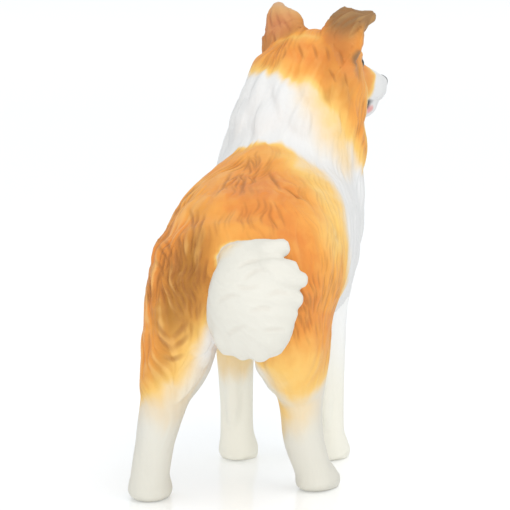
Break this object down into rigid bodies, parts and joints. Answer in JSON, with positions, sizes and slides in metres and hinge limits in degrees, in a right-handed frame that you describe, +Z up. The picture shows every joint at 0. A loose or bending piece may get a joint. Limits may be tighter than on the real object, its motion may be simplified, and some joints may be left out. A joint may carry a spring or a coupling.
{
  "type": "collie figurine",
  "caption": "Standing collie figurine with its head turned aside, assembled from pegged plastic mouldings, for display on a shelf or table.",
  "frame": {"origin": "on the floor under the middle of the figure's box", "axes": "+Z up, the dog faces -Y, its left side is +X"},
  "size_m": [0.0365, 0.0776, 0.0817],
  "materials": {
    "torso_paint": "matt airbrushed paint, amber over cream, with a darker wash in the hair grooves",
    "ruff_paint": "matt paint, white to cream, amber at the nape",
    "head_paint": "matt paint, amber skull and pale muzzle, satin dark eyes and nose",
    "ear_paint": "matt paint, dull brown over tan",
    "foreleg_paint": "matt paint, white with a warm tint at the elbow",
    "hind_leg_paint": "matt airbrushed paint, amber thigh fading to white below the hock",
    "tail_paint": "matt paint, white with a warm tint at its edges",
    "dowel_steel": "drawn bar, bare"
  },
  "bodies": {
    "root": {"torso_left": "torso_paint", "torso_right": "torso_paint", "ruff": "ruff_paint", "head": "head_paint", "left_ear": "ear_paint", "right_ear": "ear_paint", "left_foreleg": "foreleg_paint", "right_foreleg": "foreleg_paint", "left_hind_leg": "hind_leg_paint", "right_hind_leg": "hind_leg_paint", "tail": "tail_paint", "neck_dowel": "dowel_steel"}
  },
  "joints": []
}
